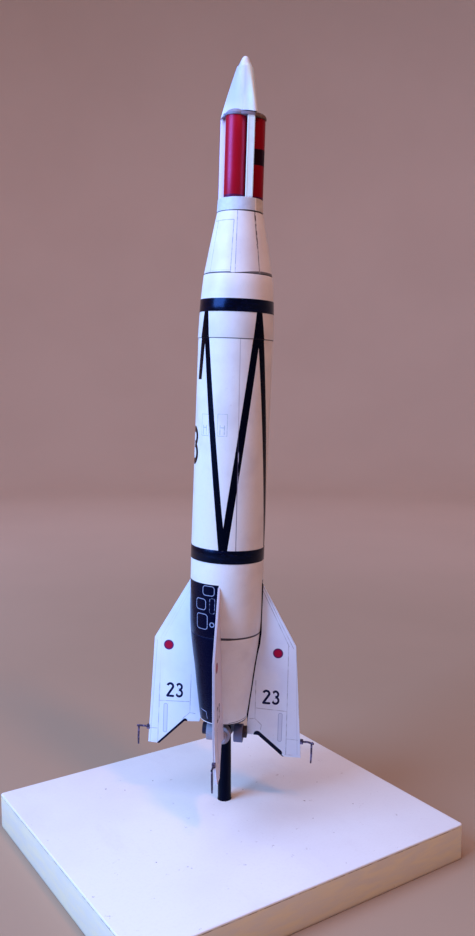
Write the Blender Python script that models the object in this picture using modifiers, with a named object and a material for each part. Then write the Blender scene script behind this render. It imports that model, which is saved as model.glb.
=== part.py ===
"""Small display model of a fin-stabilised research rocket on a rod and a flat board.

Frame: metres, +Z up, origin at the centre of the board's underside.
X runs along the board's long side, Y along its short side.
The rocket is glued on a round rod and leans a little on it, so its pieces are
modelled upright, with z = 0 on the board's top, and hang on one tilted empty.
"""
import math

import bmesh
import bpy
from mathutils import Matrix, Vector

MM = 0.001

# Board and rod
BOARD_X = 160.0
BOARD_Y = 140.0
BOARD_T = 16.0
BOARD_EDGE = 0.5
ROD_X = 5.1
ROD_Y = 7.8
ROD_R = 3.0
ROD_TOP = 44.0
ROD_HOLE_DEPTH = 12.0

# How the rocket stands on the rod
LEAN_DEG = 1.84
LEAN_AXIS_DEG = 56.35
LEAN_PIVOT_Z = 33.0

# Space kept between two pieces that touch
GAP = 0.25

# Turned body, from the tail up
TAIL_Z = 38.6
TAIL_R = 10.5
BODY_R = 16.0
CONE_TOP_Z = 80.4
BAND_Z = 120.0
JOINT_Z = 211.2
RING_TOP_Z = 238.4
RING_TOP_R = 14.6
TRANSITION_TOP_Z = 265.0
TRANSITION_TOP_R = 9.95
COLLAR_TOP_Z = 270.7
COLLAR_TOP_R = 9.75

# Cluster of three tubes under the nose
TUBE_R = 4.45
TUBE_RING = 5.3
TUBE_TOP_Z = 304.2
TUBE_TURN = -155.65
CAP_R = 4.65
CAP_RING = 5.5
CAP_TOP_Z = 308.0
BAR_IN = 6.9
BAR_OUT = 9.2
BAR_W = 3.4
BAR_TURN = -100.65

# Nose
NOSE_Z = 304.45
NOSE_TURN = -83.65
TIP_Z = 327.4
TIP_R = 2.9
APEX_Z = 330.6

# Fins and what they carry
FIN_TURN = -131.35
FIN_T = 1.0
FIN_TOP_Z = 104.4
FIN_SHOULDER = (32.6, 75.1)
FIN_FOOT = (35.4, 23.5)
FIN_HEEL = (28.5, 23.3)
FIN_NOTCH = (17.0, 34.4)
FIN_ROOT = (11.0, 33.4)
WIRE_R = 0.45
WIRE_Z = 31.3
WIRE_OUT = 40.2
WIRE_END_Z = 22.2
BRACKET = (1.3, 1.8, 2.6)
VANE_Z = 32.2
VANE_R = 4.2
VANE_IN = 4.6
VANE_OUT = 8.6
HUB_R = 2.7
HUB_OUT = 10.7

# Colour, roughness and metallic value of each material
WHITE_CARD = ((0.80, 0.80, 0.82), 0.45, 0.0)
BOARD_WHITE = ((0.78, 0.78, 0.80), 0.40, 0.0)
ROD_BLACK = ((0.012, 0.012, 0.014), 0.35, 0.0)
TUBE_RED = ((0.46, 0.02, 0.05), 0.30, 0.0)
CAP_GREY = ((0.25, 0.23, 0.25), 0.50, 0.0)
VANE_GREY = ((0.42, 0.40, 0.44), 0.50, 0.0)
HUB_BROWN = ((0.16, 0.12, 0.11), 0.50, 0.0)
WIRE_DARK = ((0.05, 0.05, 0.06), 0.35, 0.8)


def clear_scene():
    for obj in list(bpy.data.objects):
        bpy.data.objects.remove(obj, do_unlink=True)


def make_collection(name):
    collection = bpy.data.collections.new(name)
    bpy.context.scene.collection.children.link(collection)
    return collection


def make_material(name, look):
    colour, roughness, metallic = look
    material = bpy.data.materials.new(name)
    material.use_nodes = True
    shader = material.node_tree.nodes["Principled BSDF"]
    shader.inputs["Base Color"].default_value = (*colour, 1.0)
    shader.inputs["Roughness"].default_value = roughness
    shader.inputs["Metallic"].default_value = metallic
    return material


def add_object(name, data, look, collection, parent=None):
    obj = bpy.data.objects.new(name, data)
    collection.objects.link(obj)
    if look is not None:
        data.materials.append(make_material(name, look))
    if parent is not None:
        obj.parent = parent
    return obj


def mesh_from(name, bm):
    bmesh.ops.recalc_face_normals(bm, faces=bm.faces)
    mesh = bpy.data.meshes.new(name)
    bm.to_mesh(mesh)
    bm.free()
    return mesh


def smooth(mesh, angle_deg=35.0):
    mesh.shade_smooth()
    mesh.set_sharp_from_angle(angle=math.radians(angle_deg))


def polar(radius, angle_deg, z=0.0):
    angle = math.radians(angle_deg)
    return Vector((radius * math.cos(angle), radius * math.sin(angle), z)) * MM


def box_mesh(name, size):
    bm = bmesh.new()
    bmesh.ops.create_cube(bm, size=1.0)
    bmesh.ops.scale(bm, vec=Vector(size) * MM, verts=bm.verts)
    return mesh_from(name, bm)


def cylinder_mesh(name, radius, length, segments=32, top_radius=None):
    """Upright cylinder or cone that stands on z = 0."""
    bm = bmesh.new()
    bmesh.ops.create_cone(
        bm,
        cap_ends=True,
        segments=segments,
        radius1=radius * MM,
        radius2=(radius if top_radius is None else top_radius) * MM,
        depth=length * MM,
    )
    bmesh.ops.translate(bm, vec=(0.0, 0.0, 0.5 * length * MM), verts=bm.verts)
    mesh = mesh_from(name, bm)
    smooth(mesh)
    return mesh


def add_bevel(obj, width, segments=2):
    bevel = obj.modifiers.new("Edge", "BEVEL")
    bevel.width = width * MM
    bevel.segments = segments
    bevel.limit_method = "ANGLE"
    bevel.angle_limit = math.radians(40.0)
    return bevel


def add_cut(obj, cutter):
    cut = obj.modifiers.new("Cut " + cutter.name, "BOOLEAN")
    cut.operation = "DIFFERENCE"
    cut.object = cutter
    return cut


def hide_cutter(cutter):
    cutter.hide_render = True
    cutter.display_type = "WIRE"


def turned(name, profile, look, collection, parent, steps=56):
    """Solid of revolution; the profile runs down its outer side from the axis."""
    mesh = bpy.data.meshes.new(name)
    points = [(r * MM, 0.0, z * MM) for r, z in profile]
    edges = [(i, i + 1) for i in range(len(points) - 1)]
    mesh.from_pydata(points, edges, [])
    obj = add_object(name, mesh, look, collection, parent)
    screw = obj.modifiers.new("Turn", "SCREW")
    screw.axis = "Z"
    screw.angle = math.tau
    screw.screw_offset = 0.0
    screw.steps = steps
    screw.render_steps = steps
    screw.use_merge_vertices = True
    screw.merge_threshold = 0.00002
    screw.use_smooth_shade = True
    return obj


def make_board(collection, cutters):
    board = add_object(
        "base_board", box_mesh("base_board", (BOARD_X, BOARD_Y, BOARD_T)), BOARD_WHITE, collection
    )
    board.location = Vector((0.0, 0.0, 0.5 * BOARD_T)) * MM
    add_bevel(board, BOARD_EDGE)
    hole = add_object(
        "rod_hole", cylinder_mesh("rod_hole", ROD_R + GAP, ROD_HOLE_DEPTH + 2.0), None, cutters
    )
    hole.location = Vector((ROD_X, ROD_Y, BOARD_T - ROD_HOLE_DEPTH)) * MM
    hide_cutter(hole)
    add_cut(board, hole)


def make_rod(collection):
    bottom = BOARD_T - ROD_HOLE_DEPTH + GAP
    length = BOARD_T + ROD_TOP - bottom
    rod = add_object(
        "display_rod", cylinder_mesh("display_rod", ROD_R, length), ROD_BLACK, collection
    )
    rod.location = Vector((ROD_X, ROD_Y, bottom)) * MM


def make_rocket_frame(collection):
    """Tilted empty with its origin on the board's top at the rod."""
    frame = bpy.data.objects.new("rocket_axis", None)
    collection.objects.link(frame)
    angle = math.radians(LEAN_AXIS_DEG)
    axis = Vector((math.cos(angle), math.sin(angle), 0.0))
    pivot = Vector((0.0, 0.0, LEAN_PIVOT_Z)) * MM
    lean = Matrix.Rotation(math.radians(LEAN_DEG), 4, axis)
    foot = Matrix.Translation(Vector((ROD_X, ROD_Y, BOARD_T)) * MM)
    frame.matrix_world = foot @ Matrix.Translation(pivot) @ lean @ Matrix.Translation(-pivot)
    return frame


def tail_radius(z):
    """Outer radius of the boat-tail and the straight tube above it."""
    stations = (
        (TAIL_Z, TAIL_R),
        (47.0, 11.6),
        (64.0, 13.6),
        (75.0, 15.1),
        (CONE_TOP_Z, 15.6),
        (86.0, 15.9),
        (92.0, BODY_R),
    )
    if z <= stations[0][0]:
        return stations[0][1]
    for (z0, r0), (z1, r1) in zip(stations, stations[1:]):
        if z <= z1:
            return r0 + (r1 - r0) * (z - z0) / (z1 - z0)
    return BODY_R


def make_tail(collection, frame):
    socket_r = ROD_R + 0.8
    socket_top = ROD_TOP + 1.0
    recess_r = TAIL_R - 0.8
    recess_top = TAIL_Z + 3.0
    profile = [(0.0, CONE_TOP_Z - 0.1)]
    for z in (CONE_TOP_Z - 0.1, 75.0, 64.0, 47.0, TAIL_Z):
        profile.append((tail_radius(z), z))
    profile.append((recess_r, TAIL_Z))
    profile.append((recess_r, recess_top))
    profile.append((socket_r, recess_top))
    profile.append((socket_r, socket_top))
    profile.append((0.0, socket_top))
    turned("tail_cone", profile, WHITE_CARD, collection, frame)

    lower = [(0.0, BAND_Z - 0.1)]
    for z in (BAND_Z - 0.1, 92.0, 86.0, CONE_TOP_Z + 0.15):
        lower.append((tail_radius(z), z))
    lower.append((0.0, CONE_TOP_Z + 0.15))
    turned("tail_tube", lower, WHITE_CARD, collection, frame)


def make_body(collection, frame):
    main = [
        (0.0, JOINT_Z - 0.1),
        (BODY_R, JOINT_Z - 0.1),
        (BODY_R, BAND_Z + 0.15),
        (0.0, BAND_Z + 0.15),
    ]
    turned("main_tube", main, WHITE_CARD, collection, frame)

    ring = [
        (0.0, RING_TOP_Z),
        (RING_TOP_R, RING_TOP_Z),
        (15.5, 228.0),
        (BODY_R + 0.2, JOINT_Z + 0.15),
        (0.0, JOINT_Z + 0.15),
    ]
    turned("shoulder_ring", ring, WHITE_CARD, collection, frame)

    transition = [
        (0.0, TRANSITION_TOP_Z),
        (TRANSITION_TOP_R, TRANSITION_TOP_Z),
        (RING_TOP_R - 0.15, RING_TOP_Z + GAP),
        (0.0, RING_TOP_Z + GAP),
    ]
    turned("transition_cone", transition, WHITE_CARD, collection, frame)

    collar = [
        (0.0, COLLAR_TOP_Z),
        (COLLAR_TOP_R, COLLAR_TOP_Z),
        (TRANSITION_TOP_R + 0.1, TRANSITION_TOP_Z + GAP),
        (0.0, TRANSITION_TOP_Z + GAP),
    ]
    turned("collar", collar, WHITE_CARD, collection, frame)


def make_cluster(collection, frame):
    foot = COLLAR_TOP_Z + GAP
    length = TUBE_TOP_Z - foot
    for index in range(3):
        turn = TUBE_TURN + 120.0 * index
        name = "motor_tube_%d" % (index + 1)
        tube = add_object(name, cylinder_mesh(name, TUBE_R, length), TUBE_RED, collection, frame)
        tube.location = polar(TUBE_RING, turn, foot)

        name = "frame_bar_%d" % (index + 1)
        size = (BAR_OUT - BAR_IN, BAR_W, length)
        bar = add_object(name, box_mesh(name, size), WHITE_CARD, collection, frame)
        turn = BAR_TURN + 120.0 * index
        bar.location = polar(0.5 * (BAR_IN + BAR_OUT), turn, foot + 0.5 * length)
        bar.rotation_euler.z = math.radians(turn)


def cap_profile(spare=0.0):
    """Low dome on a short rim; spare widens it for the cut in the nose."""
    rim_z = TUBE_TOP_Z + GAP
    dome_z = rim_z + 0.75
    height = CAP_TOP_Z - dome_z
    profile = []
    steps = 6
    for step in range(steps + 1):
        angle = 0.5 * math.pi * step / steps
        radius = (CAP_R + spare) * math.sin(angle)
        profile.append((radius, dome_z + (height + spare) * math.cos(angle) ** 1.25))
    profile.append((CAP_R + spare, rim_z - 4.0 * spare))
    profile.append((0.0, rim_z - 4.0 * spare))
    return profile


def make_caps(collection, frame):
    for index in range(3):
        turn = TUBE_TURN + 120.0 * index
        name = "tube_cap_%d" % (index + 1)
        cap = turned(name, cap_profile(), CAP_GREY, collection, frame, steps=32)
        cap.location = polar(CAP_RING, turn)


def nose_radius(angle_deg, z):
    """Round near the tip, three-cornered towards the rim."""
    t = (TIP_Z - z) / (TIP_Z - NOSE_Z)
    corner = TIP_R + 6.75 * t + 0.1 * t * t
    flat = TIP_R + 4.45 * t
    weight = 0.5 - 0.5 * math.cos(math.radians(3.0 * (angle_deg - NOSE_TURN)))
    return corner + (flat - corner) * weight * min(1.0, 1.6 * t)


def make_nose(collection, cutters, frame):
    """Loft from a rounded triangle to a circle, cut to clear the three tube caps."""
    segments = 60
    levels = (NOSE_Z, 308.5, 312.5, 317.0, 322.0, TIP_Z)
    bm = bmesh.new()
    rings = []
    for z in levels:
        ring = []
        for k in range(segments):
            angle = 360.0 * k / segments
            ring.append(bm.verts.new(polar(nose_radius(angle, z), angle, z)))
        rings.append(ring)
    for low, high in zip(rings, rings[1:]):
        for k in range(segments):
            n = (k + 1) % segments
            bm.faces.new((low[k], low[n], high[n], high[k]))
    bm.faces.new(tuple(reversed(rings[0])))
    bm.faces.new(tuple(rings[-1]))
    mesh = mesh_from("nose_cone", bm)
    smooth(mesh)
    nose = add_object("nose_cone", mesh, WHITE_CARD, collection, frame)
    for index in range(3):
        turn = TUBE_TURN + 120.0 * index
        cutter = turned(
            "cap_room_%d" % (index + 1), cap_profile(GAP), None, cutters, frame, steps=32
        )
        cutter.location = polar(CAP_RING, turn)
        hide_cutter(cutter)
        add_cut(nose, cutter)

    foot = TIP_Z + 0.15
    height = APEX_Z - foot
    profile = []
    steps = 5
    for step in range(steps + 1):
        angle = 0.5 * math.pi * step / steps
        profile.append((TIP_R * math.sin(angle), foot + height * math.cos(angle)))
    profile.append((0.0, foot))
    turned("nose_tip", profile, WHITE_CARD, collection, frame, steps=40)


def fin_outline():
    """Points (radius, height) round one fin, its root parallel to the body."""
    top = (tail_radius(FIN_TOP_Z) + GAP, FIN_TOP_Z)
    outline = [top, FIN_SHOULDER, FIN_FOOT, FIN_HEEL, FIN_NOTCH, FIN_ROOT]
    for z in (TAIL_Z - 0.2, 47.0, 64.0, 75.0, CONE_TOP_Z, 86.0, 92.0):
        outline.append((tail_radius(z) + GAP + 0.05, z))
    return outline


def fin_mesh(name):
    curve = bpy.data.curves.new(name, "CURVE")
    curve.dimensions = "2D"
    curve.fill_mode = "BOTH"
    curve.extrude = 0.5 * FIN_T * MM
    outline = fin_outline()
    spline = curve.splines.new("POLY")
    spline.points.add(len(outline) - 1)
    for point, (r, z) in zip(spline.points, outline):
        point.co = (r * MM, z * MM, 0.0, 1.0)
    spline.use_cyclic_u = True
    helper = bpy.data.objects.new(name, curve)
    bpy.context.scene.collection.objects.link(helper)
    graph = bpy.context.evaluated_depsgraph_get()
    mesh = bpy.data.meshes.new_from_object(helper.evaluated_get(graph))
    bpy.data.objects.remove(helper, do_unlink=True)
    bm = bmesh.new()
    bm.from_mesh(mesh)
    bmesh.ops.remove_doubles(bm, verts=bm.verts, dist=0.00001)
    bmesh.ops.rotate(
        bm, cent=(0.0, 0.0, 0.0), matrix=Matrix.Rotation(0.5 * math.pi, 3, "X"), verts=bm.verts
    )
    bpy.data.meshes.remove(mesh)
    return mesh_from(name, bm)


def make_fins(collection, frame):
    for index in range(4):
        name = "fin_%d" % (index + 1)
        fin = add_object(name, fin_mesh(name), WHITE_CARD, collection, frame)
        fin.rotation_euler.z = math.radians(FIN_TURN + 90.0 * index)


def fin_edge_radius(z):
    """Radius of the fin's outer edge at one height."""
    (r0, z0), (r1, z1) = FIN_SHOULDER, FIN_FOOT
    return r0 + (r1 - r0) * (z - z0) / (z1 - z0)


def wire_points(start):
    """Straight out from the bracket, round a small bend and straight down."""
    bend = 0.8
    points = [(start, WIRE_Z)]
    steps = 4
    for step in range(steps + 1):
        angle = 0.5 * math.pi * (1.0 - step / steps)
        r = WIRE_OUT - bend + bend * math.cos(angle)
        z = WIRE_Z - bend + bend * math.sin(angle)
        points.append((r, z))
    points.append((WIRE_OUT, WIRE_END_Z))
    return points


def make_tip_wires(collection, frame):
    lean_out = fin_edge_radius(WIRE_Z) + GAP + 0.1
    for index in range(4):
        turn = FIN_TURN + 90.0 * index
        name = "wire_bracket_%d" % (index + 1)
        bracket = add_object(name, box_mesh(name, BRACKET), WIRE_DARK, collection, frame)
        bracket.location = polar(lean_out + 0.5 * BRACKET[0], turn, WIRE_Z)
        bracket.rotation_euler.z = math.radians(turn)

        name = "tip_wire_%d" % (index + 1)
        curve = bpy.data.curves.new(name, "CURVE")
        curve.dimensions = "3D"
        curve.bevel_depth = WIRE_R * MM
        curve.bevel_resolution = 2
        curve.use_fill_caps = True
        points = wire_points(lean_out + BRACKET[0] + GAP)
        spline = curve.splines.new("POLY")
        spline.points.add(len(points) - 1)
        for point, (r, z) in zip(spline.points, points):
            point.co = (r * MM, 0.0, z * MM, 1.0)
        wire = add_object(name, curve, WIRE_DARK, collection, frame)
        wire.rotation_euler.z = math.radians(turn)


def make_vanes(collection, frame):
    """Short round blocks under the tail, each on the inner edge of a fin."""
    for index in range(4):
        turn = FIN_TURN + 90.0 * index
        lay = Matrix.Rotation(math.radians(turn), 4, "Z") @ Matrix.Rotation(0.5 * math.pi, 4, "Y")

        name = "vane_disc_%d" % (index + 1)
        mesh = cylinder_mesh(name, VANE_R, VANE_OUT - VANE_IN)
        disc = add_object(name, mesh, VANE_GREY, collection, frame)
        disc.matrix_basis = Matrix.Translation(polar(VANE_IN, turn, VANE_Z)) @ lay

        name = "vane_hub_%d" % (index + 1)
        start = VANE_OUT + GAP
        mesh = cylinder_mesh(name, HUB_R, HUB_OUT - start, segments=24)
        hub = add_object(name, mesh, HUB_BROWN, collection, frame)
        hub.matrix_basis = Matrix.Translation(polar(start, turn, VANE_Z)) @ lay


def main():
    clear_scene()
    parts = make_collection("space_rocket_model")
    cutters = make_collection("cutters")
    make_board(parts, cutters)
    make_rod(parts)
    frame = make_rocket_frame(parts)
    make_tail(parts, frame)
    make_body(parts, frame)
    make_cluster(parts, frame)
    make_caps(parts, frame)
    make_nose(parts, cutters, frame)
    make_fins(parts, frame)
    make_tip_wires(parts, frame)
    make_vanes(parts, frame)


main()
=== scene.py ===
import math

import bmesh
import bpy
from mathutils import Matrix, Vector


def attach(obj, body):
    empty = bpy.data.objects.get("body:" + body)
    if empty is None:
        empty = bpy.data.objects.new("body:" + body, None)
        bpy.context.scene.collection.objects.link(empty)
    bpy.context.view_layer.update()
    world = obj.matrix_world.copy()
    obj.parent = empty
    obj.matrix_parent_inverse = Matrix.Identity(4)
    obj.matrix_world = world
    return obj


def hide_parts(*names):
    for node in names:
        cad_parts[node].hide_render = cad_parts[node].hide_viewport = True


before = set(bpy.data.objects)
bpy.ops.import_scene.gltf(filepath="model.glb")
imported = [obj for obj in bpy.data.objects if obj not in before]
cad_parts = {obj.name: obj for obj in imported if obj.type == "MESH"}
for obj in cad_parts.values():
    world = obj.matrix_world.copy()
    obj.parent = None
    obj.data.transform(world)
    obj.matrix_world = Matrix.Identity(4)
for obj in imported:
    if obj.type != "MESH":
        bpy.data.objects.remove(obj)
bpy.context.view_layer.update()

MM = 0.001

# Board and rod, in the frame of the whole model
BOARD_X = 160
BOARD_Y = 140
BOARD_T = 16
ROD_X = 5.1
ROD_Y = 7.8
ROD_R = 3.1
ROD_TOP = 44
ROD_HOLE_DEPTH = 12

# Heights above the board's top and radii of the rocket
TAIL_Z = 39.5
TAIL_R = 10.6
BODY_R = 16.4
CONE_TOP_Z = 80.4
BAND_LOW = (114.2, 120)
BAND_HIGH = (222.4, 227.9)
BAND_HIGH_R = (16.195, 15.955)
JOINT_Z = 211.2
RING_TOP_Z = 238.4
RING_TOP_R = 15
TAPER_TOP_Z = 265
TAPER_TOP_R = 9.95
COLLAR_TOP_Z = 270.7
COLLAR_TOP_R = 9.75
TUBE_R = 4.45
TUBE_RING = 5.3
TUBE_TOP_Z = 304.2
CAP_R = 4.65
CAP_RING = 5.5
CAP_TOP_Z = 307.5
BAR_IN = 6.9
BAR_OUT = 9.2
BAR_W = 2.9
NOSE_LOW_Z = 302.6
TIP_Z = 325.9
TIP_R = 3.1

# Angles round the rocket, in degrees from its side that faces the camera
FIN_TURN = -7.7
TUBE_TURN = -32
BAR_TURN = 25.5
BAR_TWIST = -20
NOSE_TURN = 40
SEAM_TURN = 10
# The body's seam runs a little aslant: degrees per mm for the print, and the same slope for the cut
SEAM_SLOPE = 0.058
SEAM_LEAN = 0.0166

# Fins and what they carry: radius and height
FIN_T = 1
FIN_OUTLINE = (
    (16.1, 104.4), (32.6, 75.1), (35.4, 23.5), (28.5, 23.3), (17, 34.4), (11, 33.4), (10.7, 39.2),
    (10.3, 42), (10.9, 47), (12.9, 64), (14.4, 75), (14.9, 80.4), (15.2, 86), (15.3, 92), (15.2, 102.6),
)
# How the cut of the left and the right fin differs at the outline's first corners
LEFT_FIN_CUT = ((1.3, -1.3), (0.8, -0.4), (-0.4, 1.5), (1.3, 1.3), (1.2, 1.7), (0.3, 3.1))
RIGHT_FIN_CUT = ((-1, 0.4), (-0.7, 0.1), (0.5, -1), (-1.1, -0.9), (-1.1, -2.7), (-0.1, -1.6))
CURL_DEG = 1.3
CURL_LEVELS = (46, 40, 34, 28)
CANT_DEG = 2.03
CANT_Z = 56.5
WIRE_R = 0.45
WIRE_Z = 31.3
WIRE_OUT = 41.9
WIRE_END_Z = 21.2
WIRE_BEND = 0.9
VANE_Z = 32.2
VANE_R = 4.2
VANE_IN = 4.6
VANE_OUT = 8.6
HUB_R = 2.7
HUB_OUT = 10.7

# Studio: a round floor that curves up into a wall, and the camera's direction and lens
FLOOR_FLAT = 1200
FLOOR_CURVE = 620
WALL_TOP = (1825, 1250)
VIEW_TURN = -33.65
VIEW_DIP = 6.06
LENS = 65.35
PHOTO_SIZE = (475, 936)


def spun(degrees):
    """A turn round the upright axis."""
    return Matrix.Rotation(math.radians(degrees), 4, "Z")


def shift(x, y, z):
    """A move by so many mm."""
    return Matrix.Translation((x * MM, y * MM, z * MM))


# The rocket leans on its rod; its x axis points to the side that faces the camera
FRONT_DEG = -123.65
LEAN_AXIS_DEG = 56.35
LEAN_DEG = 1.84
PIVOT = shift(0, 0, 33)
FOOT = shift(ROD_X, ROD_Y, BOARD_T)
LEAN_AXIS = Vector((math.cos(math.radians(LEAN_AXIS_DEG)), math.sin(math.radians(LEAN_AXIS_DEG)), 0))
LEAN = Matrix.Rotation(math.radians(LEAN_DEG), 4, LEAN_AXIS)
ROCKET = FOOT @ PIVOT @ LEAN @ PIVOT.inverted() @ spun(FRONT_DEG)


def tipped(degrees, height, place=ROCKET):
    """A place tipped sideways a little, about a height on its axis."""
    middle = shift(0, 0, height)
    return place @ middle @ Matrix.Rotation(math.radians(degrees), 4, "X") @ middle.inverted()


# The rod stands a little to the right of the socket's middle
ROD_PLACE = shift(0.27, -0.18, 0) @ FOOT

# The glued sections don't sit quite in line
BODY_PLACE = tipped(-0.394, 227)
TAIL_PLACE = tipped(0.29, -32)
NOSE_PLACE = tipped(-1.2, 311)


# Modelling helpers

def start():
    """Leaves edit mode and deselects everything."""
    active = bpy.context.view_layer.objects.active
    if active is not None and active.mode != "OBJECT":
        bpy.ops.object.mode_set(mode="OBJECT")
    bpy.ops.object.select_all(action="DESELECT")


def hold(piece):
    """Makes one piece the only selected one."""
    start()
    piece.select_set(True)
    bpy.context.view_layer.objects.active = piece


def settle(piece):
    """Puts a piece's place into its mesh."""
    hold(piece)
    bpy.ops.object.transform_apply(location=True, rotation=True, scale=True)


def seat(piece, place):
    """Moves a finished piece to a place."""
    piece.matrix_world = place
    settle(piece)


def added(name):
    """Names the primitive that was just added and puts its place into its mesh."""
    piece = bpy.context.object
    piece.name = name
    piece.data.name = name
    settle(piece)
    return piece


def cube(name, middle, size):
    """A box, in mm."""
    start()
    bpy.ops.mesh.primitive_cube_add(
        size=1, location=[v * MM for v in middle], scale=[v * MM for v in size]
    )
    return added(name)


def cylinder(name, steps, radius, depth):
    """An upright cylinder round the origin, in mm."""
    start()
    bpy.ops.mesh.primitive_cylinder_add(vertices=steps, radius=radius * MM, depth=depth * MM)
    return added(name)


def edit(piece):
    hold(piece)
    bpy.ops.object.mode_set(mode="EDIT")


def everything():
    bpy.ops.mesh.select_all(action="SELECT")


def pick(piece, kind, test):
    """In edit mode, selects the points, edges or faces that pass the test."""
    bpy.ops.mesh.select_mode(type=kind)
    bpy.ops.mesh.select_all(action="DESELECT")
    mesh = bmesh.from_edit_mesh(piece.data)
    for item in {"VERT": mesh.verts, "EDGE": mesh.edges, "FACE": mesh.faces}[kind]:
        if test(item):
            item.select = True
    mesh.select_flush_mode()
    bmesh.update_edit_mesh(piece.data)


def pick_faces(piece, test):
    """Picks the faces whose middle (in mm) and normal pass the test."""
    pick(piece, "FACE", lambda face: test(face.calc_center_median() / MM, face.normal))


def pick_edges(piece, test):
    """Picks the edges whose two ends (in mm) pass the test."""
    pick(piece, "EDGE", lambda line: test(line.verts[0].co / MM, line.verts[1].co / MM))


def pick_points(piece, test):
    """Picks the vertices whose place (in mm) passes the test."""
    pick(piece, "VERT", lambda point: test(point.co / MM))


def pull(x, y, z):
    """Extrudes what is selected by so many mm."""
    move = {"value": (x * MM, y * MM, z * MM), "orient_type": "GLOBAL"}
    bpy.ops.mesh.extrude_region_move(TRANSFORM_OT_translate=move)


def swell(depth):
    """Extrudes the selected faces outwards by so many mm, or inwards below zero."""
    bpy.ops.mesh.extrude_region_shrink_fatten(TRANSFORM_OT_shrink_fatten={"value": depth * MM})


def level_cut(height):
    """Cuts the whole mesh's faces at a height."""
    everything()
    bpy.ops.mesh.bisect(plane_co=(0, 0, height * MM), plane_no=(0, 0, 1))


def outward():
    """Joins points that meet and turns the faces outwards, then leaves edit mode."""
    everything()
    bpy.ops.mesh.remove_doubles(threshold=0.000004)
    bpy.ops.mesh.normals_make_consistent(inside=False)
    bpy.ops.object.mode_set(mode="OBJECT")


def nudged(piece, dx, dy, dz, test=lambda c: True):
    """Moves the points that pass the test by so many mm."""
    edit(piece)
    pick_points(piece, test)
    bpy.ops.transform.translate(value=(dx * MM, dy * MM, dz * MM))
    bpy.ops.object.mode_set(mode="OBJECT")


def turned(name, profile, steps=128):
    """A ring that is pulled and scaled along (radius, height) steps, then filled at both ends."""
    radius, height = profile[0]
    start()
    bpy.ops.mesh.primitive_circle_add(vertices=steps, radius=radius * MM, location=(0, 0, height * MM))
    piece = added(name)
    edit(piece)
    bpy.ops.mesh.select_mode(type="EDGE")
    everything()
    for (r0, z0), (r1, z1) in zip(profile, profile[1:]):
        pull(0, 0, z1 - z0)
        bpy.ops.transform.resize(value=(r1 / r0, r1 / r0, 1), center_override=(0, 0, z1 * MM))
    everything()
    bpy.ops.mesh.fill_holes(sides=0)
    outward()
    return piece


def rounded(piece, width, angle=40):
    """Takes the sharp edges off."""
    hold(piece)
    bevel = piece.modifiers.new("Soft edges", "BEVEL")
    bevel.width = width * MM
    bevel.segments = 2
    bevel.limit_method = "ANGLE"
    bevel.angle_limit = math.radians(angle)
    bpy.ops.object.modifier_apply(modifier=bevel.name)


def cut_away(piece, cutter):
    """Takes the cutter's room out of a piece and deletes the cutter."""
    settle(cutter)
    hold(piece)
    cut = piece.modifiers.new("Cut", "BOOLEAN")
    cut.operation = "DIFFERENCE"
    cut.solver = "EXACT"
    cut.object = cutter
    bpy.ops.object.modifier_apply(modifier=cut.name)
    bpy.data.objects.remove(cutter, do_unlink=True)


def groove(piece, turn, width, depth, lowest, highest, lean=0):
    """A thin cut down a wrapped piece, where the two ends of the card meet."""
    edit(piece)
    middle = 0.5 * (lowest + highest)
    radial = Vector((math.cos(math.radians(turn)), math.sin(math.radians(turn)), 0))
    across = Vector((-radial.y, radial.x, 0))

    def on_side(c, n):
        return c.xy.dot(radial.xy) > 0 and lowest <= c.z <= highest and abs(n.z) < 0.7

    for side in (-0.5, 0.5):
        pick_faces(piece, lambda c, n: on_side(c, n) and abs(c.xy.dot(across.xy)) < 3)
        bpy.ops.mesh.bisect(
            plane_co=(across * side * width + Vector((0, 0, middle))) * MM,
            plane_no=across + Vector((0, 0, lean)),
        )
    pick_faces(piece, lambda c, n: (
        on_side(c, n) and abs(c.xy.dot(across.xy) + (c.z - middle) * lean) < 0.5 * width
    ))
    pull(*(-depth * radial))
    outward()


def copies(piece, count, step):
    """A finished piece and its copies, each turned a step further round the rocket."""
    made = [piece]
    word = piece.name.rsplit("_", 1)[0]
    for index in range(1, count):
        hold(piece)
        bpy.ops.object.duplicate()
        copy = bpy.context.object
        copy.name = "%s_%d" % (word, index + 1)
        copy.data.name = copy.name
        seat(copy, spun(step * index))
        made.append(copy)
    return made


def hand_over(piece, material, nodes, place=ROCKET, angle=35):
    """Gives a piece its finish and its place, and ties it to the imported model."""
    hold(piece)
    piece.data.materials.clear()
    piece.data.materials.append(material)
    seat(piece, place)
    bpy.ops.object.shade_smooth_by_angle(angle=math.radians(angle))
    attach(piece, "root")
    if nodes:
        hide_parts(*nodes)


def hand_row(pieces, materials, node):
    """Hands over a row of like pieces, whose nodes are numbered from 1."""
    for index, (piece, material) in enumerate(zip(pieces, materials), 1):
        hand_over(piece, material, ["%s_%d" % (node, index)])


# Materials

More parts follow.
